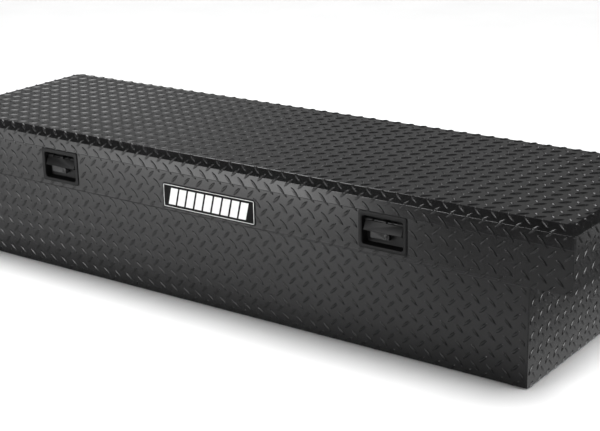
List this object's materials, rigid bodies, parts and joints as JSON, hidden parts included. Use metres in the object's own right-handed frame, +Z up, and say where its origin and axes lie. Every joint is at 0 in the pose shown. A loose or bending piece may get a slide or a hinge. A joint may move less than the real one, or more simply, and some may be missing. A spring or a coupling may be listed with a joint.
{
  "type": "truck tool box",
  "caption": "Crossover truck tool box: tub between the bed walls, wings on the rails, hinged tread-plate lid on gas struts, recessed paddle latches with locks.",
  "frame": {"origin": "middle of the tub's underside, midway along, and midway between the lid's front and rear edges", "axes": "+X along the box towards the right end as seen from the front, -Y out of the front where the latches are, +Z up"},
  "size_m": [1.778, 0.507, 0.3515],
  "materials": {
    "tread_plate": "gloss black powder coat over diamond tread plate",
    "black_sheet": "satin black powder coat over smooth sheet",
    "plated_steel": "bright zinc plate",
    "black_hardware": "black e-coat over steel",
    "rubber": "matt black sponge rubber",
    "foam": "rigid closed-cell foam, cut face",
    "badge": "gloss black with raised white bars"
  },
  "bodies": {
    "box": {"lower_front_panel": "tread_plate", "lower_rear_panel": "tread_plate", "tub_floor": "tread_plate", "left_end_panel": "tread_plate", "right_end_panel": "tread_plate", "left_wing_floor": "tread_plate", "right_wing_floor": "tread_plate", "left_wing_end": "tread_plate", "right_wing_end": "tread_plate", "front_band": "tread_plate", "rear_band": "tread_plate", "front_rim": "black_sheet", "rear_rim": "black_sheet", "left_rim": "black_sheet", "right_rim": "black_sheet", "weatherstrip": "rubber", "hinge_body_leaf": "plated_steel", "hinge_pin": "plated_steel", "badge": "badge", "left_latch_dish": "black_sheet", "left_spindle": "black_hardware", "left_return_spring": "black_hardware", "left_lock_housing": "black_sheet", "left_bolt_guide": "black_sheet", "left_tub_bracket": "plated_steel", "right_latch_dish": "black_sheet", "right_spindle": "black_hardware", "right_return_spring": "black_hardware", "right_lock_housing": "black_sheet", "right_bolt_guide": "black_sheet", "right_tub_bracket": "plated_steel"},
    "lid": {"lid_skin": "tread_plate", "lid_inner_pan": "black_sheet", "lid_foam_core": "foam", "hinge_lid_leaf": "plated_steel", "left_striker": "plated_steel", "left_lid_bracket": "plated_steel", "right_striker": "plated_steel", "right_lid_bracket": "plated_steel"},
    "left_paddle": {"left_paddle": "black_sheet"},
    "left_latch_bolt": {"left_latch_bolt": "plated_steel"},
    "left_lock_plug": {"left_lock_plug": "black_hardware"},
    "left_strut_cylinder": {"left_strut_cylinder": "black_sheet"},
    "left_strut_rod": {"left_strut_rod": "plated_steel"},
    "right_paddle": {"right_paddle": "black_sheet"},
    "right_latch_bolt": {"right_latch_bolt": "plated_steel"},
    "right_lock_plug": {"right_lock_plug": "black_hardware"},
    "right_strut_cylinder": {"right_strut_cylinder": "black_sheet"},
    "right_strut_rod": {"right_strut_rod": "plated_steel"}
  },
  "joints": [
    {"name": "lid_hinge", "type": "hinge", "parent": "box", "child": "lid", "pos_m": [0, 0.2501, 0.3024], "axis": [-1, 0, 0], "range_deg": [0, 70]},
    {"name": "left_paddle_pull", "type": "hinge", "parent": "box", "child": "left_paddle", "pos_m": [-0.462, -0.2372, 0.2825], "axis": [-1, 0, 0], "range_deg": [0, 30], "stiffness_Nm_per_rad": 0.4, "springref_deg": -14.32},
    {"name": "left_bolt_slide", "type": "slide", "parent": "box", "child": "left_latch_bolt", "axis": [0, -1, 0], "range_m": [0, 0.0081]},
    {"name": "left_lock_turn", "type": "hinge", "parent": "box", "child": "left_lock_plug", "pos_m": [-0.4575, -0.2317, 0.254], "axis": [0, -1, 0], "range_deg": [0, 90]},
    {"name": "left_strut_swing", "type": "hinge", "parent": "box", "child": "left_strut_cylinder", "pos_m": [-0.7825, 0.1868, 0.1359], "axis": [-1, 0, 0], "range_deg": [0, 35.1]},
    {"name": "left_strut_extend", "type": "slide", "parent": "left_strut_cylinder", "child": "left_strut_rod", "axis": [0, -0.5599, 0.8286], "range_m": [0, 0.13022]},
    {"name": "right_paddle_pull", "type": "hinge", "parent": "box", "child": "right_paddle", "pos_m": [0.462, -0.2372, 0.2825], "axis": [-1, 0, 0], "range_deg": [0, 30], "stiffness_Nm_per_rad": 0.4, "springref_deg": -14.32},
    {"name": "right_bolt_slide", "type": "slide", "parent": "box", "child": "right_latch_bolt", "axis": [0, -1, 0], "range_m": [0, 0.0081]},
    {"name": "right_lock_turn", "type": "hinge", "parent": "box", "child": "right_lock_plug", "pos_m": [0.4665, -0.2317, 0.254], "axis": [0, -1, 0], "range_deg": [0, 90]},
    {"name": "right_strut_swing", "type": "hinge", "parent": "box", "child": "right_strut_cylinder", "pos_m": [0.7825, 0.1868, 0.1359], "axis": [-1, 0, 0], "range_deg": [0, 35.1]},
    {"name": "right_strut_extend", "type": "slide", "parent": "right_strut_cylinder", "child": "right_strut_rod", "axis": [0, -0.5599, 0.8286], "range_m": [0, 0.13022]}
  ],
  "couplings": [
    {"joint": "left_bolt_slide", "follows": "left_paddle_pull", "m_per_rad": 0.015279},
    {"joint": "left_strut_swing", "follows": "lid_hinge", "ratio": 0.50001},
    {"joint": "left_strut_extend", "follows": "lid_hinge", "m_per_rad": 0.10642},
    {"joint": "right_bolt_slide", "follows": "right_paddle_pull", "m_per_rad": 0.015279},
    {"joint": "right_strut_swing", "follows": "lid_hinge", "ratio": 0.50001},
    {"joint": "right_strut_extend", "follows": "lid_hinge", "m_per_rad": 0.10642}
  ]
}
